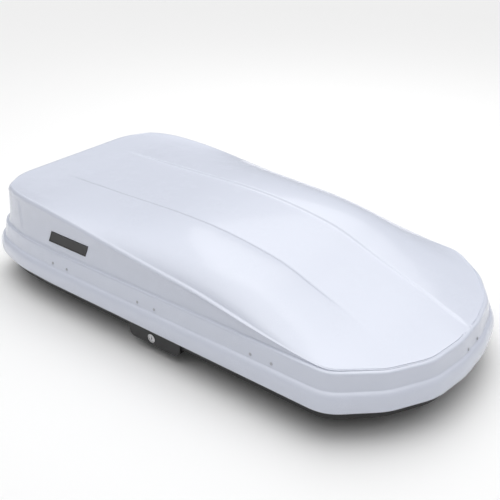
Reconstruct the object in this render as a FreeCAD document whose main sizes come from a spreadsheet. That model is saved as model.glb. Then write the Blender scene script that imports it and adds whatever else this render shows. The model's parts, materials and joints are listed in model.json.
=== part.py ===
import FreeCAD, Part

import math
import os
import re

# Roof cargo box, millimetres.
# +X points at the nose, +Y at the hinge side, +Z up.
# The origin is the middle of the footprint, on the underside of the base.

os.makedirs("parts", exist_ok=True)
doc = FreeCAD.newDocument("RoofBox")
V = FreeCAD.Vector

# ---------------------------------------------------------------- dimensions
SIZES = {
    "HalfWidth": 420.0,
    "NoseX": 826.0,
    "RearX": -826.0,
    "SkirtZ": 95.0,
    "BulgeZ": 122.0,
    "BandZ": 153.0,
    "LedgeZ": 200.0,
    "PanelZ": 204.0,
    "LidWall": 4.0,
    "TrayWall": 4.0,
    "TrayRimZ": 90.0,
    "TrayKneeZ": 60.0,
    "TrayInset": 24.0,
    "FloorInset": 130.0,
    "FloorThick": 5.0,
    "HingeY": 402.0,
    "HingeZ": 98.0,
    "PinRadius": 2.5,
    "KnuckleRadius": 5.0,
    "LeafThick": 3.0,
    "RailLength": 960.0,
    "RailWidth": 54.0,
    "RailHeight": 7.0,
    "RailY": 240.0,
    "SlotX": 310.0,
    "SlotLength": 180.0,
    "SlotWidth": 8.6,
    "RibWidth": 44.0,
    "RibHeight": 10.0,
    "RibX": 120.0,
    "BarLength": 960.0,
    "BarThick": 3.0,
    "BarHeight": 16.0,
    "BarZ": 66.0,
    "BarY": -378.0,
    "LockX": 6.0,
    "LockZ": 61.0,
    "LockRadius": 11.0,
    "BezelRadius": 14.0,
    "RivetRadius": 4.6,
    "RivetZ": 166.0,
    "RivetPitch": 67.0,
    "StayTubeRadius": 8.0,
    "StayRodRadius": 3.5,
    "BadgeLength": 176.0,
    "BadgeHeight": 38.0,
    "BadgeThick": 2.0,
}

sheet = doc.addObject("Spreadsheet::Sheet", "Dimensions")
sheet.Label = "Dimensions"
for row, (alias, value) in enumerate(SIZES.items(), start=1):
    sheet.set("A%d" % row, alias)
    sheet.set("B%d" % row, str(value))
    sheet.setAlias("B%d" % row, alias)
doc.recompute()


def size(alias):
    """Read one driving dimension from the sheet."""
    return float(sheet.get(alias))


nodes = []


def keep(obj, label):
    """Name an object and list it for writing."""
    obj.Label = label
    nodes.append(obj)
    return obj


# ------------------------------------------------------------ object helpers
def bind(obj, prop, value):
    """Set a property to a number, or bind it to an expression over the sheet."""
    if isinstance(value, str):
        obj.setExpression(prop, re.sub(r"([A-Z][A-Za-z]+)", r"Dimensions.\1", value))
    else:
        setattr(obj, prop, value)


def at(obj, x, y, z, axis=V(0, 0, 1), angle=0.0):
    obj.Placement = FreeCAD.Placement(V(x, y, z), FreeCAD.Rotation(axis, angle))
    return obj


def box(name, length, width, height, x, y, z):
    """Part::Box whose sizes are expressions or numbers, lowest corner at x, y, z."""
    obj = doc.addObject("Part::Box", name)
    for prop, value in (("Length", length), ("Width", width), ("Height", height)):
        bind(obj, prop, value)
    return at(obj, x, y, z)


AXES = {
    "x": (V(0, 1, 0), 90.0),
    "y": (V(1, 0, 0), -90.0),
    "z": (V(0, 0, 1), 0.0),
}


def rod(name, radius, height, x, y, z, along="z"):
    """Part::Cylinder along one axis, starting at x, y, z."""
    obj = doc.addObject("Part::Cylinder", name)
    for prop, value in (("Radius", radius), ("Height", height)):
        bind(obj, prop, value)
    axis, angle = AXES[along]
    return at(obj, x, y, z, axis, angle)


def cut(name, base, tool):
    obj = doc.addObject("Part::Cut", name)
    obj.Base = base
    obj.Tool = tool
    return obj


def fuse(name, *shapes):
    obj = doc.addObject("Part::MultiFuse", name)
    obj.Shapes = list(shapes)
    return obj


def common(name, *shapes):
    obj = doc.addObject("Part::MultiCommon", name)
    obj.Shapes = list(shapes)
    return obj


def feature(name, shape):
    obj = doc.addObject("Part::Feature", name)
    obj.Shape = shape
    return obj


def plane_of(body, role):
    """The origin plane of a body with the given role."""
    for item in body.Origin.OriginFeatures:
        if item.Role == role:
            return item
    raise ValueError(role)


def sketch_on(body, role, name, offset=0.0):
    """An empty sketch on one of the body's origin planes."""
    sk = body.newObject("Sketcher::SketchObject", name)
    sk.AttachmentSupport = [(plane_of(body, role), "")]
    sk.MapMode = "FlatFace"
    sk.AttachmentOffset = FreeCAD.Placement(V(0, 0, offset), FreeCAD.Rotation())
    return sk


def polygon(sk, points):
    """Closed run of lines in a sketch."""
    count = len(points)
    for i in range(count):
        a = points[i]
        b = points[(i + 1) % count]
        sk.addGeometry(Part.LineSegment(V(a[0], a[1], 0), V(b[0], b[1], 0)), False)


def pad(body, sk, name, length):
    obj = body.newObject("PartDesign::Pad", name)
    obj.Profile = sk
    bind(obj, "Length", length)
    return obj


# ------------------------------------------------------------- plan outline
HALF_W = size("HalfWidth")
NOSE_X = size("NoseX")
REAR_X = size("RearX")

# Corners of the half plan and the radius that rounds each one.
HALF_PLAN = [
    (REAR_X, 240.0, 600.0),
    (REAR_X + 26.0, 325.0, 300.0),
    (REAR_X + 91.0, HALF_W - 42.0, 300.0),
    (REAR_X + 226.0, HALF_W - 8.0, 600.0),
    (-430.0, HALF_W, 900.0),
    (606.0, HALF_W, 120.0),
    (728.0, 312.0, 170.0),
    (803.0, 190.0, 190.0),
    (NOSE_X, 62.0, 230.0),
]


def offset_corners(corners, inset):
    """Move every edge of a closed outline inwards by the inset."""
    count = len(corners)
    lines = []
    for i in range(count):
        ax, ay = corners[i][0], corners[i][1]
        bx, by = corners[(i + 1) % count][0], corners[(i + 1) % count][1]
        length = math.hypot(bx - ax, by - ay)
        ux, uy = (bx - ax) / length, (by - ay) / length
        # The outline runs clockwise seen from above, so inwards is to the right.
        lines.append((ax + uy * inset, ay - ux * inset, ux, uy))
    moved = []
    for i in range(count):
        px, py, ux, uy = lines[i - 1]
        qx, qy, vx, vy = lines[i]
        det = ux * vy - uy * vx
        t = ((qx - px) * vy - (qy - py) * vx) / det
        moved.append((px + ux * t, py + uy * t, max(corners[i][2] - inset, 12.0)))
    return moved


def outline(inset, z):
    """Rounded plan outline at a height, as a wire of lines and arcs."""
    right = [(x, -y, r) for x, y, r in reversed(HALF_PLAN)]
    ring = offset_corners(HALF_PLAN + right, inset)
    count = len(ring)
    trims = []
    for i in range(count):
        ax, ay = ring[i - 1][0], ring[i - 1][1]
        bx, by, r = ring[i]
        cx, cy = ring[(i + 1) % count][0], ring[(i + 1) % count][1]
        l1 = math.hypot(ax - bx, ay - by)
        l2 = math.hypot(cx - bx, cy - by)
        u = ((ax - bx) / l1, (ay - by) / l1)
        w = ((cx - bx) / l2, (cy - by) / l2)
        turn = math.pi - math.acos(max(-1.0, min(1.0, u[0] * w[0] + u[1] * w[1])))
        cutback = min(r * math.tan(turn / 2.0), 0.46 * l1, 0.46 * l2)
        start = V(bx + u[0] * cutback, by + u[1] * cutback, z)
        end = V(bx + w[0] * cutback, by + w[1] * cutback, z)
        radius = cutback / math.tan(turn / 2.0)
        bis = (u[0] + w[0], u[1] + w[1])
        bl = math.hypot(bis[0], bis[1])
        far = radius / math.cos(turn / 2.0)
        cen = (bx + bis[0] / bl * far, by + bis[1] / bl * far)
        back = (bx - cen[0], by - cen[1])
        bk = math.hypot(back[0], back[1])
        mid = V(cen[0] + back[0] / bk * radius, cen[1] + back[1] / bk * radius, z)
        trims.append((start, mid, end))
    edges = []
    for i in range(count):
        start, mid, end = trims[i]
        edges.append(Part.Arc(start, mid, end).toShape())
        edges.append(Part.LineSegment(end, trims[(i + 1) % count][0]).toShape())
    return Part.Wire(edges)


def ring_loft(levels):
    """Solid through plan outlines given as (inset, height) pairs."""
    wires = [outline(inset, z) for inset, z in levels]
    return Part.makeLoft(wires, True, True)


# -------------------------------------------------------------- lid surface
# Heights of the crown and of the shoulder along the length.
CROWN = [(-840, 333), (-600, 334), (-430, 333), (-260, 335), (-90, 337), (35, 332),
         (160, 318), (290, 293), (415, 257), (540, 231), (665, 217), (790, 208), (850, 203)]
# Extra height of the two lobes beside the middle of the roof.
LOBE = [(-840, 0), (-90, 0), (35, 3), (160, 8), (290, 10), (415, 8), (540, 3), (665, 0), (850, 0)]
SHOULDER = [(-840, 336), (-600, 345), (-470, 340), (-340, 328), (-215, 313), (-90, 299),
            (35, 286), (160, 273), (290, 252), (415, 229), (540, 212), (665, 207),
            (790, 205), (850, 203)]
CREASE_Y = 145.0
SHOULDER_Y = 388.0


def follow(stations, x):
    """Smooth height through the stations of a line along the lid."""
    if x <= stations[0][0]:
        return float(stations[0][1])
    if x >= stations[-1][0]:
        return float(stations[-1][1])
    for i in range(len(stations) - 1):
        x0, z0 = stations[i]
        x1, z1 = stations[i + 1]
        if x0 <= x <= x1:
            xa, za = stations[max(i - 1, 0)]
            xb, zb = stations[min(i + 2, len(stations) - 1)]
            m0 = (z1 - za) / float(x1 - xa)
            m1 = (zb - z0) / float(xb - x0)
            h = float(x1 - x0)
            t = (x - x0) / h
            a = 2 * t ** 3 - 3 * t ** 2 + 1
            b = t ** 3 - 2 * t ** 2 + t
            c = -2 * t ** 3 + 3 * t ** 2
            d = t ** 3 - t ** 2
            return a * z0 + b * h * m0 + c * z1 + d * h * m1
    return float(stations[-1][1])


def lid_height(x, y, drop=0.0):
    crown = follow(CROWN, x) - drop
    shoulder = follow(SHOULDER, x) - drop
    t = min(max((abs(y) - CREASE_Y) / (SHOULDER_Y - CREASE_Y), 0.0), 1.25)
    swell = follow(LOBE, x) * 4.0 * t * max(1.0 - t, 0.0)
    return crown - (crown - shoulder) * t ** 2.4 + swell


def above_lid(drop):
    """Solid block that lies above the lid surface lowered by drop."""
    grid = []
    for i in range(35):
        x = -850.0 + i * 50.0
        row = []
        for j in range(23):
            y = -440.0 + j * 40.0
            row.append(V(x, y, lid_height(x, y, drop)))
        grid.append(row)
    surface = Part.BSplineSurface()
    surface.interpolate(grid)
    return surface.toShape().extrude(V(0, 0, 400))


LID_OUTER = [
    (8.0, size("SkirtZ")),
    (2.0, size("SkirtZ") + 9.0),
    (0.0, size("BulgeZ")),
    (3.0, size("BulgeZ") + 16.0),
    (11.0, size("BandZ") - 3.0),
    (17.0, size("BandZ")),
    (26.0, size("LedgeZ")),
    (35.0, size("PanelZ")),
    (50.0, 360.0),
]
REAR_LEAN = 46.0
WALL = size("LidWall")


def behind_rear_wall(shift):
    """Wedge that lies behind the leaning rear wall, moved forwards by shift."""
    x0 = REAR_X + 35.0 + shift
    z0 = size("PanelZ") - shift * 0.4
    z1 = 360.0
    run = REAR_LEAN * (z1 - z0) / 135.0
    corners = [V(x0, -500, z0), V(x0 + run, -500, z1), V(x0 - 80.0, -500, z1), V(x0 - 80.0, -500, z0)]
    return Part.Face(Part.makePolygon(corners + corners[:1])).extrude(V(0, 1000, 0))


def lid_blank():
    return ring_loft(LID_OUTER).cut(above_lid(0.0)).cut(behind_rear_wall(0.0))


def lid_cavity():
    """Space inside the lid, open at the bottom."""
    levels = []
    for i, (inset, z) in enumerate(LID_OUTER):
        down = 0.0
        if i in (5, 7):
            down = WALL
        if i == 0:
            levels.append((inset + WALL, z - 40.0))
        levels.append((inset + WALL, z - down))
    return ring_loft(levels).cut(above_lid(WALL)).cut(behind_rear_wall(WALL))


cavity = lid_cavity()
shell_shape = lid_blank().cut(cavity)

RIVET_Z = size("RivetZ")
PITCH = size("RivetPitch")
SIDE_RIVET_X = [-389.0, -11.0, 401.0]
BAND_TILT = math.degrees(math.atan2(9.0, size("LedgeZ") - size("BandZ")))
BAND_INSET = 17.0 + 9.0 * (RIVET_Z - size("BandZ")) / (size("LedgeZ") - size("BandZ"))


def rivet(x, y, outwards, z=RIVET_Z):
    """Domed rivet on the band: head outside, shank inside, pointing outwards."""
    r = size("RivetRadius")
    profile = Part.makeSphere(r * 1.25, V(0, 0, -r * 0.75)).common(
        Part.makeCylinder(r, 3.0, V(0, 0, 0)))
    shank = Part.makeCylinder(2.2, 8.0, V(0, 0, -8.0))
    whole = profile.fuse(shank)
    turn = FreeCAD.Rotation(V(0, 0, 1), V(outwards[0], outwards[1], math.tan(math.radians(BAND_TILT))))
    whole.Placement = FreeCAD.Placement(V(x, y, z), turn)
    return whole


side_rivets = []
for cx in SIDE_RIVET_X:
    for k in (-0.5, 0.5):
        side_rivets.append(rivet(cx + k * PITCH, -(HALF_W - BAND_INSET), (0, -1)))
hinge_rivets = []
HINGE_X = [-430.0, 0.0, 430.0]
for cx in HINGE_X:
    for k in (-0.5, 0.5):
        hinge_rivets.append(rivet(cx + k * 36.0, HALF_W - BAND_INSET, (0, 1)))
nose_rivets = []
for k in (-0.5, 0.5):
    nose_rivets.append(rivet(NOSE_X - BAND_INSET + 1.0, k * 61.0, (1, 0), RIVET_Z - 5.0))

all_rivets = Part.Compound(side_rivets + hinge_rivets + nose_rivets)
shell_shape = shell_shape.cut(all_rivets)
lid_shell = keep(feature("LidShell", shell_shape), "lid_shell")
keep(feature("SideRivets", Part.Compound(side_rivets)), "side_rivets")
keep(feature("HingeRivets", Part.Compound(hinge_rivets)), "hinge_rivets")
keep(feature("NoseRivets", Part.Compound(nose_rivets)), "nose_rivets")

# ---------------------------------------------------------------- lid inside
cavity_obj = feature("CavityTool", cavity)


def fitted(name, raw, rivets=None):
    """Trim a piece to the inside of the lid and bore it for its rivets."""
    inside = common(name + "Fit", raw, cavity_obj)
    if rivets is None:
        return inside
    tool = feature(name + "Bores", Part.Compound(rivets))
    return cut(name + "Bored", inside, tool)


CATCH_NAMES = ["rear", "mid", "front"]
for index, cx in enumerate(SIDE_RIVET_X):
    tag = CATCH_NAMES[index]
    foot = box("CatchFoot" + tag, 92.0, 32.0, 22.0, cx - 46.0, -418.0, 155.0)
    web = box("CatchWeb" + tag, 40.0, "LeafThick", 96.0, cx - 20.0, -389.0, 81.0)
    pin = rod("CatchPin" + tag, 3.0, 17.0, cx, -387.0, 92.0, "y")
    both = fuse("Catch" + tag, foot, web, pin)
    keep(fitted("CatchPart" + tag, both, side_rivets[2 * index:2 * index + 2]), "catch_" + tag)

for index, cx in enumerate(HINGE_X):
    tag = CATCH_NAMES[index]
    foot = box("LeafFoot" + tag, 56.0, 30.0, 26.0, cx - 28.0, 388.0, 152.0)
    strap = box("LeafStrap" + tag, 50.0, "LeafThick", 58.0, cx - 25.0, 397.0, 98.0)
    knuckles = rod("LeafBarrel" + tag, "KnuckleRadius", 50.0, cx - 25.0, 402.0, 98.0, "x")
    gap = box("LeafGap" + tag, 21.0, 30.0, 52.0, cx - 10.5, 385.0, 91.0)
    solid = cut("LeafCut" + tag, fuse("Leaf" + tag, foot, strap, knuckles), gap)
    bored = cut("LeafBore" + tag, solid,
                rod("LeafPinHole" + tag, "PinRadius + 0.1", 56.0, cx - 28.0, 402.0, 98.0, "x"))
    keep(fitted("LeafPart" + tag, bored, hinge_rivets[2 * index:2 * index + 2]), "lid_leaf_" + tag)

    plate = box("BasePlate" + tag, 18.0, "LeafThick", 38.0, cx - 9.0, 396.0, 62.0)
    barrel = rod("BaseBarrel" + tag, "KnuckleRadius", 18.0, cx - 9.0, 402.0, 98.0, "x")
    hole = rod("BasePinHole" + tag, "PinRadius", 20.0, cx - 10.0, 402.0, 98.0, "x")
    keep(cut("BaseLeafCut" + tag, fuse("BaseLeaf" + tag, plate, barrel), hole), "base_leaf_" + tag)
    keep(rod("HingePin" + tag, "PinRadius", 54.0, cx - 27.0, 402.0, 98.0, "x"), "hinge_pin_" + tag)

nose_block = box("NoseBlock", 60.0, 96.0, 24.0, NOSE_X - 66.0, -48.0, 150.0)
nose_tongue = box("NoseTongue", 6.0, 60.0, 74.0, NOSE_X - 46.0, -30.0, 82.0)
nose_all = fuse("NoseGuideAll", nose_block, nose_tongue)
keep(fitted("NoseGuide", nose_all, nose_rivets), "nose_guide")


def roof_bow(name, label, cx):
    """Stiffening bow across the lid, following the underside of the roof."""
    slab = Part.makeBox(60.0, 700.0, 300.0, V(cx - 30.0, -350.0, 80.0))
    outer = slab.cut(above_lid(WALL))
    inner = slab.cut(above_lid(WALL + 10.0))
    shape = outer.cut(inner)
    channel = Part.makeBox(40.0, 640.0, 300.0, V(cx - 20.0, -320.0, 80.0))
    hollow = channel.cut(above_lid(WALL + 3.0))
    return keep(feature(name, shape.cut(hollow).common(cavity)), label)


roof_bow("BowRear", "roof_bow_rear", -330.0)
roof_bow("BowFront", "roof_bow_front", 150.0)

# Nameplate on the near side panel: a plain plate with slanted ends.
badge = doc.addObject("PartDesign::Body", "Badge")
sk = sketch_on(badge, "XZ_Plane", "BadgeOutline")
half = size("BadgeLength") / 2.0
tall = size("BadgeHeight") / 2.0
polygon(sk, [(-half - 6.0, -tall), (half - 10.0, -tall), (half + 6.0, tall), (-half + 10.0, tall)])
pad(badge, sk, "BadgePad", "BadgeThick")
keep(badge, "name_plate")
PANEL_SLOPE = math.degrees(math.atan2(15.0, 156.0))
badge.Placement = FreeCAD.Placement(V(-358.0, -(HALF_W - 38.9), 248.0),
                                    FreeCAD.Rotation(V(1, 0, 0), -PANEL_SLOPE))

# Lid-side studs of the two stays.
STAY_X = {"rear": -475.0, "front": 400.0}
STAY_BASE = (370.0, 80.0)
STAY_LID = (315.0, 220.0)
for tag, sx in STAY_X.items():
    plate = box("StayLug" + tag, 5.0, 110.0, 44.0, sx - 17.0, 300.0, 204.0)
    stud = rod("StayStud" + tag, 4.0, 16.0, sx - 13.0, STAY_LID[0], STAY_LID[1], "x")
    keep(fitted("StayLidPart" + tag, fuse("StayLid" + tag, plate, stud)), "stay_lug_" + tag)

# ---------------------------------------------------------------------- tray
TRAY_OUTER = [
    (size("FloorInset"), 0.0),
    (30.0, size("TrayKneeZ")),
    (size("TrayInset"), size("TrayKneeZ") + 6.0),
    (size("TrayInset"), size("TrayRimZ")),
]
TRAY_INNER = [
    (size("FloorInset") + 3.0, size("FloorThick")),
    (34.5, size("TrayKneeZ") + 1.0),
    (28.0, size("TrayKneeZ") + 7.5),
    (28.0, size("TrayRimZ") + 1.0),
]
tray_outer = ring_loft(TRAY_OUTER)
tray_shape = tray_outer.cut(ring_loft(TRAY_INNER))


def slot_solid(cx, cy, length, width, z0, z1):
    r = width / 2.0
    h = length / 2.0 - r
    core = Part.makeBox(2 * h, width, z1 - z0, V(cx - h, cy - r, z0))
    ends = [Part.makeCylinder(r, z1 - z0, V(cx + s * h, cy, z0)) for s in (-1, 1)]
    return core.fuse(ends)


slots = []
for sx in (-1, 1):
    for sy in (-1, 1):
        slots.append(slot_solid(sx * size("SlotX"), sy * size("RailY"),
                                size("SlotLength"), size("SlotWidth"), -1.0, 20.0))
lock_bore = Part.makeCylinder(size("LockRadius") + 0.3, 60.0,
                              V(size("LockX"), -410.0, size("LockZ")), V(0, 1, 0))
tray_shape = tray_shape.cut(Part.Compound(slots)).cut(lock_bore)
keep(feature("Tray", tray_shape), "base_tray")

seal_shape = ring_loft([(24.0, 90.0), (24.0, 94.5)]).cut(ring_loft([(28.0, 89.0), (28.0, 96.0)]))
keep(feature("RimSeal", seal_shape), "rim_seal")

# Lock housing under the rim, trimmed to the tray's wall.
housing = doc.addObject("PartDesign::Body", "HousingBlank")
sk = sketch_on(housing, "XZ_Plane", "HousingOutline")
polygon(sk, [(-86.0, 90.0), (-86.0, 52.0), (-78.0, 40.0), (-70.0, 38.0),
             (96.0, 38.0), (104.0, 48.0), (116.0, 52.0), (119.0, 90.0)])
pad(housing, sk, "HousingPad", 62.0)
housing.Placement = FreeCAD.Placement(V(0, -340.0, 0), FreeCAD.Rotation())
wall_tool = feature("TrayWallTool", tray_outer.copy())
lock_tool = rod("LockHole", "LockRadius + 0.3", 80.0, size("LockX"), -410.0, size("LockZ"), "y")
seat_tool = rod("BezelSeat", "BezelRadius", 3.0, size("LockX"), -403.0, size("LockZ"), "y")
trimmed = cut("HousingTrim", housing, wall_tool)
keep(cut("HousingBored", trimmed, fuse("HousingTools", lock_tool, seat_tool)), "lock_housing")

bezel_out = rod("BezelOuter", "BezelRadius", 3.5, size("LockX"), -403.5, size("LockZ"), "y")
bezel_in = rod("BezelInner", "LockRadius + 0.3", 8.0, size("LockX"), -405.0, size("LockZ"), "y")
keep(cut("Bezel", bezel_out, bezel_in), "lock_bezel")

# Lock cylinder with a keyway in its face.
barrel = rod("LockBarrel", "LockRadius", 18.5, size("LockX"), -402.5, size("LockZ"), "y")
key_round = rod("KeyRound", 2.0, 8.0, size("LockX"), -404.0, size("LockZ"), "y")
key_slit = box("KeySlit", 1.8, 8.0, 11.0, size("LockX") - 0.9, -404.0, size("LockZ") - 5.5)
keep(cut("LockCylinder", barrel, fuse("Keyway", key_round, key_slit)), "lock_cylinder")

# Cam on the inner end of the cylinder: an arm and a pin that drives the bar.
CAM_R = 15.0
cam_plate = rod("CamPlate", 9.0, 2.5, size("LockX"), -384.0, size("LockZ"), "y")
cam_arm = box("CamArm", 8.0, 2.5, 19.0, -4.0, 0.0, 0.0)
at(cam_arm, size("LockX") - 4.0 * math.cos(math.radians(30)), -384.0,
   size("LockZ") + 4.0 * math.sin(math.radians(-30)), V(0, 1, 0), -30.0)
pin_x = size("LockX") - CAM_R * math.sin(math.radians(30))
pin_z = size("LockZ") + CAM_R * math.cos(math.radians(30))
cam_pin = rod("CamPin", 2.0, 8.6, pin_x, -384.0, pin_z, "y")
keep(fuse("LockCam", cam_plate, cam_arm, cam_pin), "lock_cam")

# Lock bar: a strip that slides along the near wall, slotted for the cam pin.
BAR_Z = size("BarZ")
BAR_Y = size("BarY")
bar = doc.addObject("PartDesign::Body", "LockBar")
sk = sketch_on(bar, "XZ_Plane", "BarOutline")
half = size("BarLength") / 2.0
tall = size("BarHeight")
polygon(sk, [(-half, 0.0), (half, 0.0), (half, tall), (-half, tall)])
pad(bar, sk, "BarPad", "BarThick")
bar.Placement = FreeCAD.Placement(V(0, BAR_Y + size("BarThick"), BAR_Z), FreeCAD.Rotation())
bar_hole = box("BarHole", 6.0, 12.0, 9.0, pin_x - 3.0, BAR_Y - 4.0, BAR_Z + 4.5)
keep(cut("BarCut", bar, bar_hole), "lock_bar")

# Hooks on the bar: each mouth faces the nose, open while the bar is back.
for index, cx in enumerate(SIDE_RIVET_X):
    tag = CATCH_NAMES[index]
    body = doc.addObject("PartDesign::Body", "Hook" + tag)
    sk = sketch_on(body, "XZ_Plane", "HookOutline" + tag)
    polygon(sk, [(-34.0, 0.0), (-8.0, 0.0), (-8.0, 16.0), (-20.0, 16.0), (-20.0, 31.0),
                 (-6.0, 31.0), (-6.0, 37.0), (-34.0, 37.0)])
    pad(body, sk, "HookPad" + tag, 3.0)
    body.Placement = FreeCAD.Placement(V(cx, BAR_Y + size("BarThick") + 3.0, BAR_Z), FreeCAD.Rotation())
    keep(body, "hook_" + tag)

# Guides that carry the bar on the tray's wall.
GUIDE_X = {"rear": -190.0, "front": 210.0}
for tag, gx in GUIDE_X.items():
    block = box("Guide" + tag, 40.0, 22.0, 24.0, gx - 20.0, -394.0, 62.0)
    run = box("GuideRun" + tag, 60.0, 3.8, 16.8, gx - 30.0, BAR_Y - 0.4, BAR_Z - 0.4)
    trimmed = cut("GuideCut" + tag, block, run)
    keep(common("GuideFit" + tag, trimmed,
                feature("GuideSpace" + tag, ring_loft(TRAY_INNER))), "bar_guide_" + tag)

# ------------------------------------------------------------ floor hardware
for tag, sy in (("right", -1), ("left", 1)):
    body = doc.addObject("PartDesign::Body", "Rail" + tag)
    sk = sketch_on(body, "YZ_Plane", "RailSection" + tag)
    w = size("RailWidth") / 2.0
    t = size("RailHeight")
    polygon(sk, [(-w, 0.0), (-w + 12.0, 0.0), (-w + 15.0, t - 2.5), (w - 15.0, t - 2.5),
                 (w - 12.0, 0.0), (w, 0.0), (w, 2.5), (w - 10.5, 2.5), (w - 13.5, t),
                 (-w + 13.5, t), (-w + 10.5, 2.5), (-w, 2.5)])
    pad(body, sk, "RailPad" + tag, "RailLength")
    half = size("RailLength") / 2.0
    body.Placement = FreeCAD.Placement(V(-half, sy * size("RailY"), size("FloorThick")),
                                       FreeCAD.Rotation())
    tool = feature("RailSlots" + tag, Part.Compound(slots))
    keep(cut("RailSlotted" + tag, body, tool), "floor_rail_" + tag)

for tag, sx in (("rear", -1), ("front", 1)):
    body = doc.addObject("PartDesign::Body", "Rib" + tag)
    sk = sketch_on(body, "XZ_Plane", "RibSection" + tag)
    w = size("RibWidth") / 2.0
    t = size("RibHeight")
    polygon(sk, [(-w, 0.0), (-w + 10.0, 0.0), (-w + 14.0, t - 3.0), (w - 14.0, t - 3.0),
                 (w - 10.0, 0.0), (w, 0.0), (w, 3.0), (w - 8.0, 3.0), (w - 12.0, t),
                 (-w + 12.0, t), (-w + 8.0, 3.0), (-w, 3.0)])
    length = 2 * size("RailY") - size("RailWidth") - 1.0
    pad(body, sk, "RibPad" + tag, length)
    body.Placement = FreeCAD.Placement(V(sx * size("RibX"), length / 2.0, size("FloorThick")),
                                       FreeCAD.Rotation())
    keep(body, "floor_rib_" + tag)

floor_rivets = []
for sy in (-1, 1):
    for rx in (-465.0, -155.0, 155.0, 465.0):
        for k in (-1, 1):
            y = sy * size("RailY") + k * (size("RailWidth") / 2.0 - 5.5)
            floor_rivets.append(Part.makeSphere(5.0, V(rx, y, size("FloorThick") + 0.5)).common(
                Part.makeCylinder(4.5, 6.0, V(rx, y, size("FloorThick") + 2.5))))
keep(feature("FloorRivets", Part.Compound(floor_rivets)), "floor_rivets")

strips = []
for sx in (-1, 1):
    for sy in (-1, 1):
        z0 = size("FloorThick") + size("RailHeight")
        strip = Part.makeBox(size("SlotLength") + 16.0, 24.0, 1.6,
                             V(sx * size("SlotX") - size("SlotLength") / 2.0 - 8.0,
                               sy * size("RailY") - 12.0, z0))
        slit = Part.makeBox(size("SlotLength") - 4.0, 1.2, 4.0,
                            V(sx * size("SlotX") - size("SlotLength") / 2.0 + 2.0,
                              sy * size("RailY") - 0.6, z0 - 1.0))
        strips.append(strip.cut(slit))
keep(feature("SlotStrips", Part.Compound(strips)), "slot_strips")

# ---------------------------------------------------------------------- stays
lean = math.degrees(math.atan2(STAY_LID[1] - STAY_BASE[1], STAY_LID[0] - STAY_BASE[0]))
reach = math.hypot(STAY_LID[1] - STAY_BASE[1], STAY_LID[0] - STAY_BASE[0])
for tag, sx in STAY_X.items():
    foot = box("StayFoot" + tag, 5.0, 30.0, 26.0, sx - 17.0, 362.0, 66.0)
    wing = box("StayWing" + tag, 40.0, 12.0, 18.0, sx - 52.0, 381.0, 67.0)
    stud = rod("StayPivot" + tag, 3.6, 15.0, sx - 13.0, STAY_BASE[0], STAY_BASE[1], "x")
    keep(common("StayFootFit" + tag, fuse("StayFootAll" + tag, foot, wing, stud),
                feature("StaySpace" + tag, ring_loft(TRAY_INNER))), "stay_foot_" + tag)

    def along_stay(shape):
        """Stand a piece drawn along +Z on the line of the stay."""
        shape.Placement = FreeCAD.Placement(V(sx, STAY_BASE[0], STAY_BASE[1]),
                                            FreeCAD.Rotation(V(1, 0, 0), -(90.0 - lean)))
        return shape

    tube = Part.makeCylinder(size("StayTubeRadius"), reach - 36.0, V(0, 0, 10.0))
    tube = tube.fuse(Part.makeBox(7.0, 13.0, 17.0, V(-3.5, -6.5, -6.5)))
    tube = tube.cut(Part.makeCylinder(4.0, 20.0, V(-10, 0, 0), V(1, 0, 0)))
    tube = tube.cut(Part.makeCylinder(size("StayRodRadius") + 0.4, reach, V(0, 0, 14.0)))
    keep(feature("StayTube" + tag, along_stay(tube)), "stay_tube_" + tag)
    shaft = Part.makeCylinder(size("StayRodRadius"), reach - 24.0, V(0, 0, 17.0))
    # The eye is bored wide, so that its stud never touches it through the lid's travel.
    eye = Part.makeBox(7.0, 20.0, 22.0, V(-3.5, -10.0, reach - 11.0))
    shaft = shaft.fuse(eye).cut(Part.makeCylinder(7.1, 20.0, V(-10, 0, reach), V(1, 0, 0)))
    keep(feature("StayRod" + tag, along_stay(shaft)), "stay_rod_" + tag)

# ---------------------------------------------------------------------- write
doc.recompute()
for obj in doc.Objects:
    for word in ("Invalid", "Error"):
        if word in obj.State:
            raise RuntimeError("%s is %s" % (obj.Label, word))
for obj in nodes:
    shape = obj.Shape
    if shape.isNull() or not shape.isValid() or shape.Volume <= 0:
        raise RuntimeError("bad shape: " + obj.Label)
for obj in nodes:
    obj.Shape.exportStep("parts/%s.step" % obj.Label)
    b = obj.Shape.optimalBoundingBox(True, False) if obj.Label != "lid_shell" else obj.Shape.BoundBox
    print("%-18s %9.0f mm3 %d  x %.1f %.1f  y %.1f %.1f  z %.1f %.1f" % (
        obj.Label, obj.Shape.Volume, len(obj.Shape.Solids),
        b.XMin, b.XMax, b.YMin, b.YMax, b.ZMin, b.ZMax))
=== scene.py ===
"""Looks of a roof cargo box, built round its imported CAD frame."""

import json
import logging
import math
from dataclasses import dataclass, field
from enum import Enum
from typing import Sequence

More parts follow.
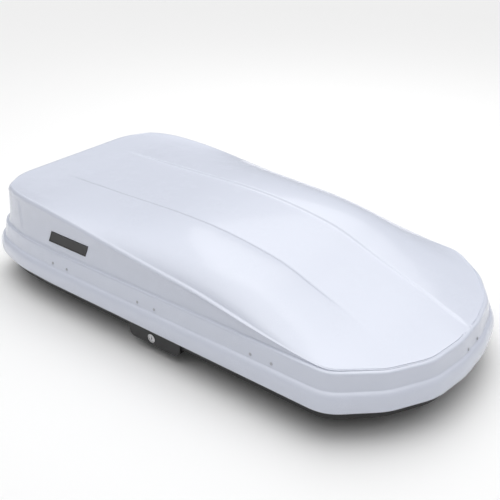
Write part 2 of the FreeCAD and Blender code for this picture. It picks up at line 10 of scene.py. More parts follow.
import bpy
import numpy as np
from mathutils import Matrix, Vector

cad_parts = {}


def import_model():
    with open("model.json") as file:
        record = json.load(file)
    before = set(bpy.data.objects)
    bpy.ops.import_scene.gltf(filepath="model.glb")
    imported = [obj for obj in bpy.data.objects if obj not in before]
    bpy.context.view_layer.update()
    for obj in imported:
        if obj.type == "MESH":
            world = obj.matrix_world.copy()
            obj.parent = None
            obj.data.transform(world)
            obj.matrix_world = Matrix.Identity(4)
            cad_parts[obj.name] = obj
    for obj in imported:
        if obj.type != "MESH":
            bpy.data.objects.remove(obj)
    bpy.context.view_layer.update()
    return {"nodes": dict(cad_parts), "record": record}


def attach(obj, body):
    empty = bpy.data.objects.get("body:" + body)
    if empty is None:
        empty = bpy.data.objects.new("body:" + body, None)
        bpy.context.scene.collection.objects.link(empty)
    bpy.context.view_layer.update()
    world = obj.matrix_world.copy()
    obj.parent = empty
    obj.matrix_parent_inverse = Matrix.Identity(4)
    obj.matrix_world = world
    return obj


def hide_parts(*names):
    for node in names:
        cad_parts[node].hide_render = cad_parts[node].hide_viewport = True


LOG = logging.getLogger("roof_box")
Colour = tuple[float, float, float]
MM = 0.001

COAT_ROUGH = 0.08
IOR = 1.5
BRUSH_STRETCH = (0.06, 1.0, 1.0)
BROAD_SCALE, BROAD_DETAIL = 7.0, 5.0
FINE_DETAIL = 3.0
TINT_FROM = (0.35, 0.75)
ROUGH_FROM = (0.1, 0.45)
LEAST_ROUGH = 0.02
BUMP_STRENGTH = 0.6


# ------------------------------------------------------------------ materials
class Grain(Enum):
    """Kinds of surface detail."""

    GLOSS = "gloss"
    TEXTURED = "textured"
    BRUSHED = "brushed"
    PLAIN = "plain"


@dataclass(frozen=True)
class Finish:
    """One surface finish and the node tree that shows it.

    Attributes:
        name: The material's name.
        colour: Base colour, linear.
        rough: Mean roughness.
        grain: Kind of detail.
        metallic: How metallic the surface is.
        coat: Weight of the clear coat.
        spread: How far the roughness varies.
        mottle: How far the colour varies.
        bump: Height of the relief, in metres.
        scale: Frequency of the relief, per metre.
    """

    name: str
    colour: Colour
    rough: float
    grain: Grain = Grain.PLAIN
    metallic: float = 0.0
    coat: float = 0.0
    spread: float = 0.06
    mottle: float = 0.07
    bump: float = 0.00003
    scale: float = 400.0

    def build(self) -> bpy.types.Material:
        """Make the material.

        Returns:
            The material, with its nodes linked.
        """
        mat = bpy.data.materials.new(self.name)
        mat.use_nodes = True
        nodes = mat.node_tree.nodes
        link = mat.node_tree.links.new
        shader = nodes["Principled BSDF"]
        shader.inputs["Metallic"].default_value = self.metallic
        shader.inputs["Coat Weight"].default_value = self.coat
        shader.inputs["Coat Roughness"].default_value = COAT_ROUGH
        shader.inputs["IOR"].default_value = IOR

        place = nodes.new("ShaderNodeTexCoord")
        stretch = nodes.new("ShaderNodeMapping")
        link(place.outputs["Object"], stretch.inputs["Vector"])
        if self.grain is Grain.BRUSHED:
            stretch.inputs["Scale"].default_value = BRUSH_STRETCH

        broad = nodes.new("ShaderNodeTexNoise")
        broad.inputs["Scale"].default_value = BROAD_SCALE
        broad.inputs["Detail"].default_value = BROAD_DETAIL
        link(place.outputs["Object"], broad.inputs["Vector"])
        fine = nodes.new("ShaderNodeTexNoise")
        fine.inputs["Scale"].default_value = self.scale
        fine.inputs["Detail"].default_value = FINE_DETAIL
        link(stretch.outputs["Vector"], fine.inputs["Vector"])

        tint = nodes.new("ShaderNodeMixRGB")
        tint.inputs["Color1"].default_value = (*self.colour, 1.0)
        darker = tuple((1.0 - self.mottle) * c for c in self.colour)
        tint.inputs["Color2"].default_value = (*darker, 1.0)
        weight = nodes.new("ShaderNodeMapRange")
        weight.inputs["From Min"].default_value = TINT_FROM[0]
        weight.inputs["From Max"].default_value = TINT_FROM[1]
        link(broad.outputs["Fac"], weight.inputs["Value"])
        link(weight.outputs["Result"], tint.inputs["Fac"])
        link(tint.outputs["Color"], shader.inputs["Base Color"])

        mixed = nodes.new("ShaderNodeMath")
        mixed.operation = "MULTIPLY"
        link(broad.outputs["Fac"], mixed.inputs[0])
        link(fine.outputs["Fac"], mixed.inputs[1])
        rough = nodes.new("ShaderNodeMapRange")
        rough.inputs["From Min"].default_value = ROUGH_FROM[0]
        rough.inputs["From Max"].default_value = ROUGH_FROM[1]
        rough.inputs["To Min"].default_value = max(LEAST_ROUGH, self.rough - self.spread)
        rough.inputs["To Max"].default_value = min(1.0, self.rough + self.spread)
        link(mixed.outputs["Value"], rough.inputs["Value"])
        link(rough.outputs["Result"], shader.inputs["Roughness"])

        bump = nodes.new("ShaderNodeBump")
        bump.inputs["Distance"].default_value = self.bump
        bump.inputs["Strength"].default_value = BUMP_STRENGTH
        link(fine.outputs["Fac"], bump.inputs["Height"])
        link(bump.outputs["Normal"], shader.inputs["Normal"])
        return mat


class Finishes:
    """All finishes of the box, built once, by the record's slot names.

    Attributes:
        made: The materials, by slot name.
    """

    TABLE = (
        Finish("lid_plastic", (0.70, 0.735, 0.84), 0.27, Grain.GLOSS, coat=0.35,
               spread=0.015, mottle=0.012, bump=0.000002, scale=900.0),
        Finish("rivet_grey", (0.50, 0.51, 0.56), 0.32, Grain.GLOSS, metallic=0.3),
        Finish("zinc_steel", (0.55, 0.56, 0.58), 0.38, Grain.BRUSHED, metallic=1.0, spread=0.12),
        Finish("base_plastic", (0.012, 0.012, 0.013), 0.55, Grain.TEXTURED, spread=0.12,
               bump=0.0002, scale=700.0),
        Finish("black_plastic", (0.014, 0.014, 0.015), 0.42, Grain.TEXTURED, spread=0.1,
               bump=0.0001, scale=900.0),
        Finish("plate_black", (0.006, 0.006, 0.007), 0.4, Grain.GLOSS, coat=0.1),
        Finish("seal_rubber", (0.01, 0.01, 0.01), 0.75, Grain.TEXTURED, bump=0.0001),
        Finish("lock_chrome", (0.60, 0.60, 0.61), 0.2, Grain.BRUSHED, metallic=1.0),
        Finish("strut_black", (0.01, 0.01, 0.01), 0.25, Grain.GLOSS, coat=0.5),
        Finish("rod_chrome", (0.75, 0.75, 0.76), 0.1, Grain.BRUSHED, metallic=1.0),
        Finish("bow_steel", (0.03, 0.03, 0.032), 0.5, Grain.TEXTURED, bump=0.0001),
    )

    def __init__(self) -> None:
        self.made: dict[str, bpy.types.Material] = {f.name: f.build() for f in self.TABLE}

    def dress(self, obj: bpy.types.Object, slot: str) -> None:
        """Give an object one finish.

        Args:
            obj: The object.
            slot: The record's slot name.
        """
        obj.data.materials.clear()
        obj.data.materials.append(self.made[slot])


# -------------------------------------------------------------- mesh helpers
def mesh_object(name: str, verts: Sequence, faces: Sequence,
                smooth: bool = True) -> bpy.types.Object:
    """Make a mesh object.

    Args:
        name: The object's name.
        verts: Points, in metres.
        faces: Rows of point indices.
        smooth: Whether faces shade smoothly.

    Returns:
        The object, linked to the scene.
    """
    data = bpy.data.meshes.new(name)
    data.from_pydata([tuple(v) for v in verts], [], [tuple(f) for f in faces])
    data.validate()
    for face in data.polygons:
        face.use_smooth = smooth
    obj = bpy.data.objects.new(name, data)
    bpy.context.scene.collection.objects.link(obj)
    return obj


def ramp(x: np.ndarray, low: float, high: float) -> np.ndarray:
    """Smooth step from 0 at low to 1 at high.

    Args:
        x: Values to take it at.
        low: Where it leaves 0.
        high: Where it reaches 1.

    Returns:
        The step at each value.
    """
    t = np.clip((np.asarray(x, float) - low) / (high - low), 0.0, 1.0)
    return t * t * (3.0 - 2.0 * t)


@dataclass
class Stations:
    """A line along the box given by a few heights.

    Attributes:
        points: Pairs of x and height, in millimetres, from rear to nose.
    """

    points: tuple[tuple[float, float], ...]

    def __call__(self, x: np.ndarray) -> np.ndarray:
        """Heights of the smooth line.

        Args:
            x: Positions along the box.

        Returns:
            The heights, by cubic pieces through the points.
        """
        xs = np.array([p[0] for p in self.points], float)
        zs = np.array([p[1] for p in self.points], float)
        slope = np.gradient(zs, xs)
        x = np.clip(np.asarray(x, float), xs[0], xs[-1])
        i = np.clip(np.searchsorted(xs, x, side="right") - 1, 0, len(xs) - 2)
        h = xs[i + 1] - xs[i]
        t = (x - xs[i]) / h
        a = 2 * t**3 - 3 * t**2 + 1
        b = t**3 - 2 * t**2 + t
        c = -2 * t**3 + 3 * t**2
        d = t**3 - t**2
        return a * zs[i] + b * h * slope[i] + c * zs[i + 1] + d * h * slope[i + 1]


# ----------------------------------------------------------------- plan curve
ROUND_SHARE = 0.47
ROUND_STEPS = 40
OUTLINE_POINTS = 2400
SOFTEN_WIDTH = 14
SAME_POINT = 1e-6


@dataclass
class Plan:
    """Outline of the lid's skirt seen from above, clockwise from the rear.

    Attributes:
        half: Corners of the half plan on the +Y side, with rounding, in millimetres.
        points: Even points of the outline.
        normals: Outward directions at the points.
        length: Distance round the outline of each point, and of the first one again.
    """

    half: tuple[tuple[float, float, float], ...]
    points: np.ndarray = field(init=False)
    normals: np.ndarray = field(init=False)
    length: np.ndarray = field(init=False)

    def __post_init__(self) -> None:
        corners = list(self.half) + [(x, -y, r) for x, y, r in reversed(self.half)]
        run: list[tuple[float, float]] = []
        count = len(corners)
        for i in range(count):
            a = np.array(corners[i - 1][:2])
            b = np.array(corners[i][:2])
            c = np.array(corners[(i + 1) % count][:2])
            u, w = a - b, c - b
            lu, lw = np.linalg.norm(u), np.linalg.norm(w)
            u, w = u / lu, w / lw
            turn = math.pi - math.acos(float(np.clip(u @ w, -1.0, 1.0)))
            back = min(corners[i][2] * math.tan(turn / 2), ROUND_SHARE * lu,
                       ROUND_SHARE * lw)
            start, end = b + u * back, b + w * back
            for t in np.linspace(0.0, 1.0, ROUND_STEPS):
                run.append(tuple((1 - t) ** 2 * start + 2 * t * (1 - t) * b + t**2 * end))
        self.points = self._soften(self._even(np.array(run), OUTLINE_POINTS), SOFTEN_WIDTH)
        ahead = np.roll(self.points, -1, axis=0) - np.roll(self.points, 1, axis=0)
        ahead /= np.linalg.norm(ahead, axis=1)[:, None]
        self.normals = np.column_stack([-ahead[:, 1], ahead[:, 0]])
        step = np.linalg.norm(np.roll(self.points, -1, axis=0) - self.points, axis=1)
        self.length = np.concatenate([[0.0], np.cumsum(step)])

    @staticmethod
    def _even(raw: np.ndarray, count: int) -> np.ndarray:
        """Spread points evenly round a closed run.

        Args:
            raw: Rows of x and y.
            count: How many points to make.

        Returns:
            Rows of x and y.
        """
        ring = np.vstack([raw, raw[:1]])
        step = np.linalg.norm(np.diff(ring, axis=0), axis=1)
        keep = np.concatenate([[True], step > SAME_POINT])
        ring = ring[keep]
        at = np.concatenate([[0.0], np.cumsum(np.linalg.norm(np.diff(ring, axis=0), axis=1))])
        s = np.linspace(0.0, at[-1], count, endpoint=False)
        return np.column_stack([np.interp(s, at, ring[:, 0]), np.interp(s, at, ring[:, 1])])

    @staticmethod
    def _soften(ring: np.ndarray, width: int) -> np.ndarray:
        """Blur a closed run a little, so that its curvature is even.

        Args:
            ring: Rows of x and y.
            width: How many neighbours count on each side.

        Returns:
            Rows of x and y.
        """
        kernel = np.hanning(2 * width + 3)[1:-1]
        kernel /= kernel.sum()
        out = np.zeros_like(ring)
        for k, weight in enumerate(kernel):
            out += weight * np.roll(ring, k - width, axis=0)
        return out

    def station(self, x: float, y: float) -> float:
        """Distance round the outline of the point nearest to a place.

        Args:
            x: The place along the box.
            y: The place across it.

        Returns:
            The distance, in millimetres.
        """
        i = int(np.argmin(np.hypot(self.points[:, 0] - x, self.points[:, 1] - y)))
        return float(self.length[i])

    def at(self, s: np.ndarray, inset: np.ndarray | float) -> np.ndarray:
        """Points of the outline moved inwards.

        Args:
            s: Distances round the outline.
            inset: How far inwards, one value or one for each distance.

        Returns:
            Rows of x and y.
        """
        s = np.mod(np.asarray(s, float), self.length[-1])
        ring = np.vstack([self.points, self.points[:1]])
        nrm = np.vstack([self.normals, self.normals[:1]])
        p = np.column_stack([np.interp(s, self.length, ring[:, k]) for k in (0, 1)])
        n = np.column_stack([np.interp(s, self.length, nrm[:, k]) for k in (0, 1)])
        n /= np.linalg.norm(n, axis=1)[:, None]
        return p - n * np.asarray(inset, float).reshape(-1, 1)


NOSE_X = 826.0
REAR_X = -826.0
HALF_W = 420.0
PLAN = Plan((
    (REAR_X, 240.0, 600.0),
    (REAR_X + 26.0, 325.0, 300.0),
    (REAR_X + 91.0, HALF_W - 42.0, 300.0),
    (REAR_X + 226.0, HALF_W - 8.0, 600.0),
    (-430.0, HALF_W, 900.0),
    (606.0, HALF_W, 120.0),
    (728.0, 312.0, 170.0),
    (803.0, 190.0, 190.0),
    (NOSE_X, 62.0, 230.0),
))
CROWN = Stations(((-840, 333), (-600, 334), (-430, 333), (-260, 335), (-90, 337), (35, 332),
                  (160, 318), (290, 293), (415, 257), (540, 231), (665, 217), (790, 208),
                  (850, 203)))
LOBE = Stations(((-840, 0), (-90, 2), (35, 4), (160, 8), (290, 10), (415, 8), (540, 3), (665, 0),
                 (850, 0)))
SHOULDER = Stations(((-840, 336), (-600, 345), (-470, 340), (-340, 328), (-215, 313), (-90, 299),
                     (35, 286), (160, 273), (290, 252), (415, 229), (540, 212), (665, 207),
                     (790, 205), (850, 203)))


# ------------------------------------------------------------------- the lid
LEDGE_Z = 205.0  # the upper ledge, from which the side panel rises
LEDGE_INSET = 36.0  # the panel's foot on that ledge
READ_INSET = 34.0  # where the wall's place along the box is read
FULL_RISE = 135.0  # rise of the shoulder at which the wall leans most
SOFT_RISE = 40.0  # rise at which the shoulder has its full rounding
HOLLOW_RISE = 60.0  # rise at which the panel has its full hollow
REAR_FADE = (-775.0, -690.0)  # where the rear wall's shape becomes the side's
SIDE_LEAN, REAR_LEAN, CORNER_LEAN = 15.0, 27.0, 10.0
CORNER_X, CORNER_REACH = -728.0, 48.0
ROOF_CORNERS = ((-766.0, -354.0), (600.0, -392.0), (600.0, 392.0), (-766.0, 354.0))
ROOF_ROWS, RUN_STEPS = 220, 600
LOBE_COLUMNS, STRIP_COLUMNS = 56, 44
CREASE_ROWS = (0.0, 0.72, 0.86, 1.0)
NEAR_CREASE = (-145.0, -146.0, -175.0, -245.0)
FAR_CREASE = (145.0, 145.0, 98.0, 4.0)
CREASE_BLUR = 12
FALL_OFF = 2.4
NOSE_BLEND, REAR_BLEND = (0.66, 1.0), (0.0, 0.16)
SHOULDER_ROUND = ((0.995, 3.2), (0.975, 5.6), (0.945, 7.6), (0.91, 9.0))
PANEL_STEPS = (0.86, 0.78, 0.68, 0.56, 0.44, 0.32, 0.22, 0.14, 0.08, 0.03)
FOLD_DEPTH, REAR_DEPTH = 5.0, 9.0
NOSE_DIP, DIP_X, DIP_Z = 5.0, (600.0, 780.0), (168.0, 200.0)


@dataclass
class RoofPatch:
    """The roof in plan, as rows across the box from the rear wall to the nose.

    Attributes:
        grid: X and y of each point, in millimetres, near side first in each row.
        right: Distance round the outline of each row's near end.
        front: Distance round the outline of each point of the last row.
        left: Distance round the outline of each row's far end.
        rear: Distance round the outline of each point of the first row.
    """

    grid: np.ndarray
    right: np.ndarray
    front: np.ndarray
    left: np.ndarray
    rear: np.ndarray


@dataclass
class LidShell:
    """The glossy lid: skirt, ledges, riveted band, side panel and roof.

    Attributes:
        finishes: The finishes.
        thickness: Wall, in metres.
        crease: Rise of the lobes above the centre strip, in millimetres.
        rim: Inset and height of the wall from the rim up to the upper ledge.
    """

    finishes: Finishes
    thickness: float = 0.0035
    crease: float = 4.6
    rim: tuple[tuple[float, float], ...] = (
        (11.0, 95.2), (8.6, 94.9), (6.2, 95.6), (4.0, 97.6), (2.2, 101.0), (0.9, 106.0),
        (0.2, 112.0), (0.0, 119.0), (0.3, 126.0), (1.2, 132.5), (2.8, 138.5), (5.2, 144.0),
        (8.0, 148.2), (10.6, 150.9), (12.8, 152.6), (14.8, 153.6), (16.4, 154.4), (17.6, 155.6),
        (18.3, 157.2), (18.9, 160.0), (20.6, 169.0), (22.5, 179.0), (24.2, 188.0), (25.2, 193.0),
        (26.0, 197.0), (27.0, 200.2), (28.6, 202.4), (30.8, 203.8), (33.0, 204.4), (35.0, 204.8),
    )

    def lean(self, s: np.ndarray) -> np.ndarray:
        """Inset of the shoulder: the rear wall leans forwards more than the sides.

        Args:
            s: Distances round the outline.

        Returns:
            The insets, in millimetres.
        """
        x = PLAN.at(s, READ_INSET)[:, 0]
        rise = np.clip((SHOULDER(x) - LEDGE_Z) / FULL_RISE, 0.0, 1.0)
        rear = 1.0 - ramp(x, *REAR_FADE)
        corner = np.exp(-((x - CORNER_X) / CORNER_REACH) ** 2)
        return LEDGE_INSET + rise * (SIDE_LEAN + REAR_LEAN * rear + CORNER_LEAN * corner)

    def heights(self, s: np.ndarray) -> np.ndarray:
        """Height of the shoulder.

        Args:
            s: Distances round the outline.

        Returns:
            The heights, in millimetres.
        """
        return SHOULDER(PLAN.at(s, self.lean(s))[:, 0])

    def patch(self) -> RoofPatch:
        """Lay out the roof in plan between its four corners.

        Returns:
            The patch.
        """
        rr, fr, fl, rl = (PLAN.station(x, y) for x, y in ROOF_CORNERS)
        total = PLAN.length[-1]
        v = np.linspace(0.0, 1.0, ROOF_ROWS)
        eta = np.linspace(0.0, 1.0, RUN_STEPS)
        right = rr + (fr - rr - (total if fr > rr else 0.0)) * v
        left = rl + (fl - rl + (total if fl < rl else 0.0)) * v
        front = fr + (fl - fr - (total if fl > fr else 0.0)) * eta
        rear = rr + (rl - rr + (total if rl < rr else 0.0)) * eta
        return self._fill(right, left, front, rear)

    def _fill(self, right: np.ndarray, left: np.ndarray, front: np.ndarray,
              rear: np.ndarray) -> RoofPatch:
        """Coons patch between four runs, with columns along the creases.

        Args:
            right: Distances round the outline of the near edge, from the rear.
            left: Distances of the far edge, from the rear.
            front: Distances of the nose edge, from the near side.
            rear: Distances of the rear edge, from the near side.

        Returns:
            The patch.
        """
        v = np.linspace(0.0, 1.0, len(right))
        eta = np.linspace(0.0, 1.0, len(front))
        near_end, far_end, nose_row, rear_row = (
            PLAN.at(s, self.lean(s)) for s in (right, left, front, rear))
        near_y, far_y = self._crease_line(v, NEAR_CREASE), self._crease_line(v, FAR_CREASE)
        grid = np.zeros((len(v), 2 * LOBE_COLUMNS + STRIP_COLUMNS + 1, 2))
        columns = []
        for i, t in enumerate(v):
            base = (1 - t) * rear_row + t * nose_row
            curve = (base + (1 - eta)[:, None] * (near_end[i] - base[0])
                     + eta[:, None] * (far_end[i] - base[-1]))
            e1 = np.interp(near_y[i], curve[:, 1], eta)
            e2 = np.interp(far_y[i], curve[:, 1], eta)
            cols = np.concatenate([
                np.linspace(0.0, e1, LOBE_COLUMNS + 1)[:-1],
                self._pinched(e1, e2, STRIP_COLUMNS),
                np.linspace(e2, 1.0, LOBE_COLUMNS + 1)[1:],
            ])
            grid[i, :, 0] = np.interp(cols, eta, curve[:, 0])
            grid[i, :, 1] = np.interp(cols, eta, curve[:, 1])
            columns.append(cols)
        return RoofPatch(grid, right, np.interp(columns[-1], eta, front), left,
                         np.interp(columns[0], eta, rear))

    @staticmethod
    def _crease_line(v: np.ndarray, ys: Sequence[float]) -> np.ndarray:
        """Y of a crease at each row, blurred along the box.

        Args:
            v: Share of the way to the nose of each row.
            ys: Y at the shares of CREASE_ROWS.

        Returns:
            Y of each row, in millimetres.
        """
        count = 2 * CREASE_BLUR + 1
        line = np.pad(np.interp(v, CREASE_ROWS, ys), CREASE_BLUR, mode="edge")
        return np.convolve(line, np.ones(count) / count, "valid")

    @staticmethod
    def _pinched(a: float, b: float, count: int) -> np.ndarray:
        """Columns of the centre strip, close together beside its two creases.

        Args:
            a: Where the strip starts.
            b: Where it ends.
            count: Number of columns, less one.

        Returns:
            The place of each column.
        """
        edge = min(0.006, (b - a) * 0.06)
        return np.concatenate([[a, a + 0.4 * edge, a + edge],
                               np.linspace(a + edge, b - edge, count - 3)[1:-1],
                               [b - edge, b - 0.4 * edge, b]])

    def roof_heights(self, roof: RoofPatch) -> np.ndarray:
        """Heights of the roof over its patch.

        Args:
            roof: The patch.

        Returns:
            The height of each point, in millimetres.
        """
        rows, cols = roof.grid.shape[:2]
        x = roof.grid[:, :, 0]
        k = np.arange(cols)
        share = np.zeros((rows, cols))
        share[:, : LOBE_COLUMNS + 1] = 1.0 - k[: LOBE_COLUMNS + 1] / LOBE_COLUMNS
        share[:, -LOBE_COLUMNS - 1:] = np.linspace(0.0, 1.0, LOBE_COLUMNS + 1)
        crown = CROWN(x)
        side = np.where(k[None, :] < cols / 2, self.heights(roof.right)[:, None],
                        self.heights(roof.left)[:, None])
        swell = LOBE(x) * 4.0 * share * (1.0 - share)
        z = crown - (crown - side) * share**FALL_OFF + swell
        z += self.step(x, k, share)
        v = np.linspace(0.0, 1.0, rows)[:, None]
        z += (self.heights(roof.front) - z[-1])[None, :] * ramp(v, *NOSE_BLEND)
        z += (self.heights(roof.rear) - z[0])[None, :] * (1.0 - ramp(v, *REAR_BLEND))
        return z

    def step(self, x: np.ndarray, k: np.ndarray, share: np.ndarray) -> np.ndarray:
        """Rise of the two lobes above the centre strip between the creases.

        Args:
            x: Position along the box over the grid.
            k: Number of each column.
            share: How far each column is from its crease to its shoulder, 0 to 1.

        Returns:
            The rise over the grid, in millimetres.
        """
        cols = x.shape[1]
        depth = self.crease * ramp(x, -660.0, -420.0)
        near = 1.0 - ramp(x, 220.0, 560.0)
        far = (1.0 - 0.45 * ramp(x, 300.0, 700.0)) * (1.0 - ramp(x, 735.0, 800.0))
        blend = np.where(k[None, :] < cols / 2, near, far)
        outside = (k <= LOBE_COLUMNS) | (k >= cols - LOBE_COLUMNS - 1)
        half = (k == LOBE_COLUMNS + 1) | (k == cols - LOBE_COLUMNS - 2)
        weight = np.where(outside, 1.0, np.where(half, 0.5, 0.0))
        return depth * blend * weight[None, :] * (1.0 - share) ** 1.3

    def panel(self, x: np.ndarray, lean: np.ndarray, rise: np.ndarray, f: float) -> np.ndarray:
        """Inset of the wall between the ledge and the shoulder.

        Args:
            x: Position along the box.
            lean: Inset of the shoulder.
            rise: Height of the shoulder above the ledge.
            f: Share of that height, 0 to 1.

        Returns:
            The insets.
        """
        rear = 1.0 - ramp(x, *REAR_FADE)
        fold = FOLD_DEPTH * ramp(x, -612.0, -600.0) * (1.0 - ramp(x, 200.0, 560.0))
        pull = SHOULDER_ROUND[-1][1] * np.clip(rise / SOFT_RISE, 0.0, 1.0)
        body = np.clip(lean - LEDGE_INSET - pull, 0.0, None)
        hollow = np.sin(math.pi * np.minimum(f / 0.9, 1.0)) * (fold * 0.8 + REAR_DEPTH * rear)
        return LEDGE_INSET + body * f + hollow * np.clip(rise / HOLLOW_RISE, 0.0, 1.0)

    def _rings(self, run: np.ndarray, top: np.ndarray) -> list[tuple[np.ndarray, np.ndarray]]:
        """Rings of the wall, from below the shoulder down to the rim.

        Args:
            run: Distances round the outline.
            top: Height of the roof's edge at each.

        Returns:
            The inset and the height of each ring at each distance.
        """
        lean = self.lean(run)
        x = PLAN.at(run, READ_INSET)[:, 0]
        rise = np.clip(top - LEDGE_Z, 0.0, None)
        rings = []
        for f, pull in SHOULDER_ROUND:
            inset = (lean - pull * np.clip(rise / SOFT_RISE, 0.0, 1.0)
                     - (lean - LEDGE_INSET) * (1 - f))
            rings.append((inset, LEDGE_Z + (top - LEDGE_Z) * f))
        for f in PANEL_STEPS:
            rings.append((self.panel(x, lean, rise, f), LEDGE_Z + (top - LEDGE_Z) * f))
        for inset, height in reversed(self.rim):
            rings.append((np.full(len(run), inset), np.full(len(run), height)))
        return rings

    def build(self) -> bpy.types.Object:
        """Make the lid and stand it in for the CAD node.

        Returns:
            The lid's mesh object.
        """
        roof = self.patch()
        z = self.roof_heights(roof)
        rows, cols = z.shape
        verts = [np.column_stack([roof.grid.reshape(-1, 2), z.reshape(-1)])]
        faces = []
        for i in range(rows - 1):
            for j in range(cols - 1):
                a = i * cols + j
                faces.append((a, a + cols, a + cols + 1, a + 1))
        loop = [i * cols for i in range(rows)]
        loop += [(rows - 1) * cols + j for j in range(1, cols)]
        loop += [i * cols + cols - 1 for i in range(rows - 2, -1, -1)]
        loop += list(range(cols - 2, 0, -1))
        run = np.concatenate([roof.right, roof.front[1:], roof.left[-2::-1],
                              roof.rear[-2:0:-1]])
        start, previous, count = rows * cols, loop, len(loop)
        for inset, height in self._rings(run, verts[0][loop, 2]):
            verts.append(np.column_stack([PLAN.at(run, inset), height]))
            ring = list(range(start, start + count))
            for k in range(count):
                n = (k + 1) % count
                faces.append((previous[k], ring[k], ring[n], previous[n]))
            previous = ring
            start += count
        points = np.vstack(verts)
        points[:, 2] -= NOSE_DIP * ramp(points[:, 0], *DIP_X) * ramp(points[:, 2], *DIP_Z)
        points *= MM
        lid = mesh_object("lid_shell_visual", points, faces)
        wall = lid.modifiers.new("wall", "SOLIDIFY")
        wall.thickness = self.thickness
        wall.offset = -1.0
        self.finishes.dress(lid, "lid_plastic")
        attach(lid, "lid")
        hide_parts("lid_shell")
        return lid


# ---------------------------------------------------------------- name plate
PLATE_STEPS = ((0.0, 0.0), (0.0, 1.6), (0.72, 2.2), (3.0, 2.2), (3.9, 1.5))  # inset, proud
PLATE_CORNERS = ((-1, -1, -6.0), (1, -1, -10.0), (1, 1, 6.0), (-1, 1, 10.0))  # x, z, slant
PLATE_SIDE = 24  # points along each side


@dataclass
class NamePlate:
    """A plain plate with slanted ends, seated on the near side panel.

    Attributes:
        finishes: The finishes.
        lid: The lid that carries it.
        centre: Its middle, as x and z in millimetres.
        length: Its length, in millimetres.
        height: Its height, in millimetres.
    """

    finishes: Finishes
    lid: LidShell
    centre: tuple[float, float] = (-358.0, 248.0)
    length: float = 176.0
    height: float = 38.0

    def wall(self, x: np.ndarray, z: np.ndarray) -> np.ndarray:
        """The side panel's y at points of the near side.

        Args:
            x: Positions along the box.
            z: Heights.

        Returns:
            The y of each point, in millimetres.
        """
        top = SHOULDER(x)
        f = np.clip((z - LEDGE_Z) / (top - LEDGE_Z), 0.0, 1.0)
        lean = LEDGE_INSET + SIDE_LEAN * np.clip((top - LEDGE_Z) / FULL_RISE, 0.0, 1.0)
        return -(HALF_W - self.lid.panel(x, lean, top - LEDGE_Z, f))

    def build(self) -> bpy.types.Object:
        """Make the plate and stand it in for the CAD node.

        Returns:
            The plate's mesh object.
        """
        verts, faces = [], []
        for inset, proud in PLATE_STEPS:
            ring = []
            for i in range(4):
                ax, az, aslant = PLATE_CORNERS[i]
                bx, bz, bslant = PLATE_CORNERS[(i + 1) % 4]
                for t in np.linspace(0.0, 1.0, PLATE_SIDE, endpoint=False):
                    sx, sz = ax + (bx - ax) * t, az + (bz - az) * t
                    slant = aslant + (bslant - aslant) * t
                    ring.append((sx * (self.length / 2 - inset) + slant,
                                 sz * (self.height / 2 - inset)))
            ring = np.array(ring)
            x, z = ring[:, 0] + self.centre[0], ring[:, 1] + self.centre[1]
            verts += list(np.column_stack([x, self.wall(x, z) - proud, z]) * MM)
        count = 4 * PLATE_SIDE
        for r in range(len(PLATE_STEPS) - 1):
            for k in range(count):
                n = (k + 1) % count
                low, high = r * count, (r + 1) * count
                faces.append((low + k, low + n, high + n, high + k))
        last = (len(PLATE_STEPS) - 1) * count
        faces.append(tuple(range(last, last + count)))
        faces.append(tuple(reversed(range(count))))
        plate = mesh_object("name_plate_visual", verts, faces, smooth=False)
        self.finishes.dress(plate, "plate_black")
        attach(plate, "lid")
        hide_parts("name_plate")
        return plate


# ---------------------------------------------------------------- the studio
FLOOR_HALF = 40.0
FLOOR_TONE, FLOOR_ROUGH = 0.93, 0.9
SENSOR_WIDTH, LENS = 36.0, 51.18
CAMERA_PLACE = (1.2715, -1.5859, 1.2811)
CAMERA_AIM = (-0.0557, 0.1541, 0.0950)


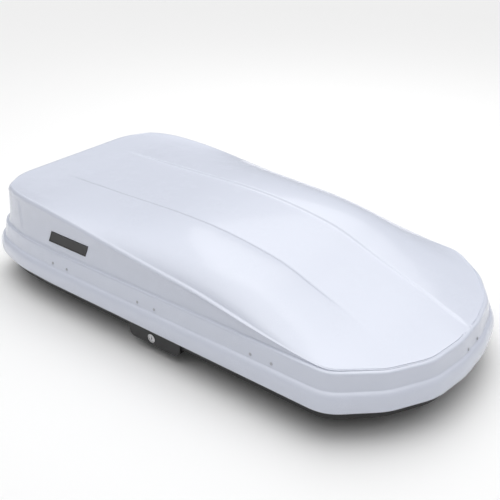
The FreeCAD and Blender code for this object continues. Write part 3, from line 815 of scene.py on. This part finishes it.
@dataclass
class Studio:
    """Floor, lights and camera.

    Attributes:
        zenith: Strength of the dome straight overhead.
        focus: How quickly the dome dims towards the horizon.
        base: Strength of the dome at the horizon.
    """

    zenith: float = 2.55
    focus: float = 4.0
    base: float = 0.1

    def build(self) -> None:
        """Make the stage and the camera."""
        world = bpy.data.worlds.new("studio")
        bpy.context.scene.world = world
        world.use_nodes = True
        self.dome(world.node_tree)
        bpy.context.scene.view_settings.view_transform = "Standard"
        self.floor()
        self.light("key", (-0.5, 1.5, 2.6), (0.1, 0.0, 0.2), 2.2, 20.0)
        self.camera()

    def dome(self, tree: bpy.types.NodeTree) -> None:
        """Soft overhead light, brightest at the zenith.

        Args:
            tree: The world's node tree.
        """
        link = tree.links.new
        back = tree.nodes["Background"]
        back.inputs["Color"].default_value = (1.0, 1.0, 1.0, 1.0)
        place = tree.nodes.new("ShaderNodeTexCoord")
        split = tree.nodes.new("ShaderNodeSeparateXYZ")
        link(place.outputs["Generated"], split.inputs["Vector"])
        steps = (("MAXIMUM", 0.0), ("POWER", self.focus), ("MULTIPLY", self.zenith),
                 ("ADD", self.base))
        last = split.outputs["Z"]
        for operation, value in steps:
            node = tree.nodes.new("ShaderNodeMath")
            node.operation = operation
            link(last, node.inputs[0])
            node.inputs[1].default_value = value
            last = node.outputs["Value"]
        link(last, back.inputs["Strength"])

    @staticmethod
    def floor() -> None:
        """A pale floor."""
        h = FLOOR_HALF
        floor = mesh_object("floor", [(-h, -h, 0), (h, -h, 0), (h, h, 0), (-h, h, 0)],
                            [(0, 1, 2, 3)])
        mat = bpy.data.materials.new("floor")
        mat.use_nodes = True
        shader = mat.node_tree.nodes["Principled BSDF"]
        shader.inputs["Base Color"].default_value = (*(FLOOR_TONE,) * 3, 1.0)
        shader.inputs["Roughness"].default_value = FLOOR_ROUGH
        floor.data.materials.append(mat)

    @staticmethod
    def light(name: str, place: Sequence[float], aim: Sequence[float], size: float,
              power: float) -> None:
        """A square soft light.

        Args:
            name: The light's name.
            place: Where it stands, in metres.
            aim: What it faces.
            size: Its side, in metres.
            power: Its power, in watts.
        """
        data = bpy.data.lights.new(name, "AREA")
        data.shape = "SQUARE"
        data.size = size
        data.energy = power
        lamp = bpy.data.objects.new(name, data)
        lamp.location = place
        lamp.rotation_euler = (Vector(aim) - Vector(place)).to_track_quat("-Z", "Y").to_euler()
        bpy.context.scene.collection.objects.link(lamp)

    @staticmethod
    def camera() -> None:
        """The camera, level and without blur."""
        data = bpy.data.cameras.new("camera")
        data.sensor_width = SENSOR_WIDTH
        data.lens = LENS
        camera = bpy.data.objects.new("camera", data)
        camera.location = CAMERA_PLACE
        aim = Vector(CAMERA_AIM)
        camera.rotation_euler = (aim - camera.location).to_track_quat("-Z", "Y").to_euler()
        bpy.context.scene.collection.objects.link(camera)
        bpy.context.scene.camera = camera


def main() -> None:
    """Build the looks."""
    logging.basicConfig(level=logging.INFO, format="%(message)s")
    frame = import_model()
    Studio().build()
    finishes = Finishes()
    slots = {s["node"]: s["material_slot"] for s in frame["record"]["subparts"]}
    for name, obj in frame["nodes"].items():
        finishes.dress(obj, slots[name])
    lid = LidShell(finishes)
    lid.build()
    LOG.info("lid done")
    NamePlate(finishes, lid).build()
    LOG.info("plate done")


if __name__ == "__main__":
    main()
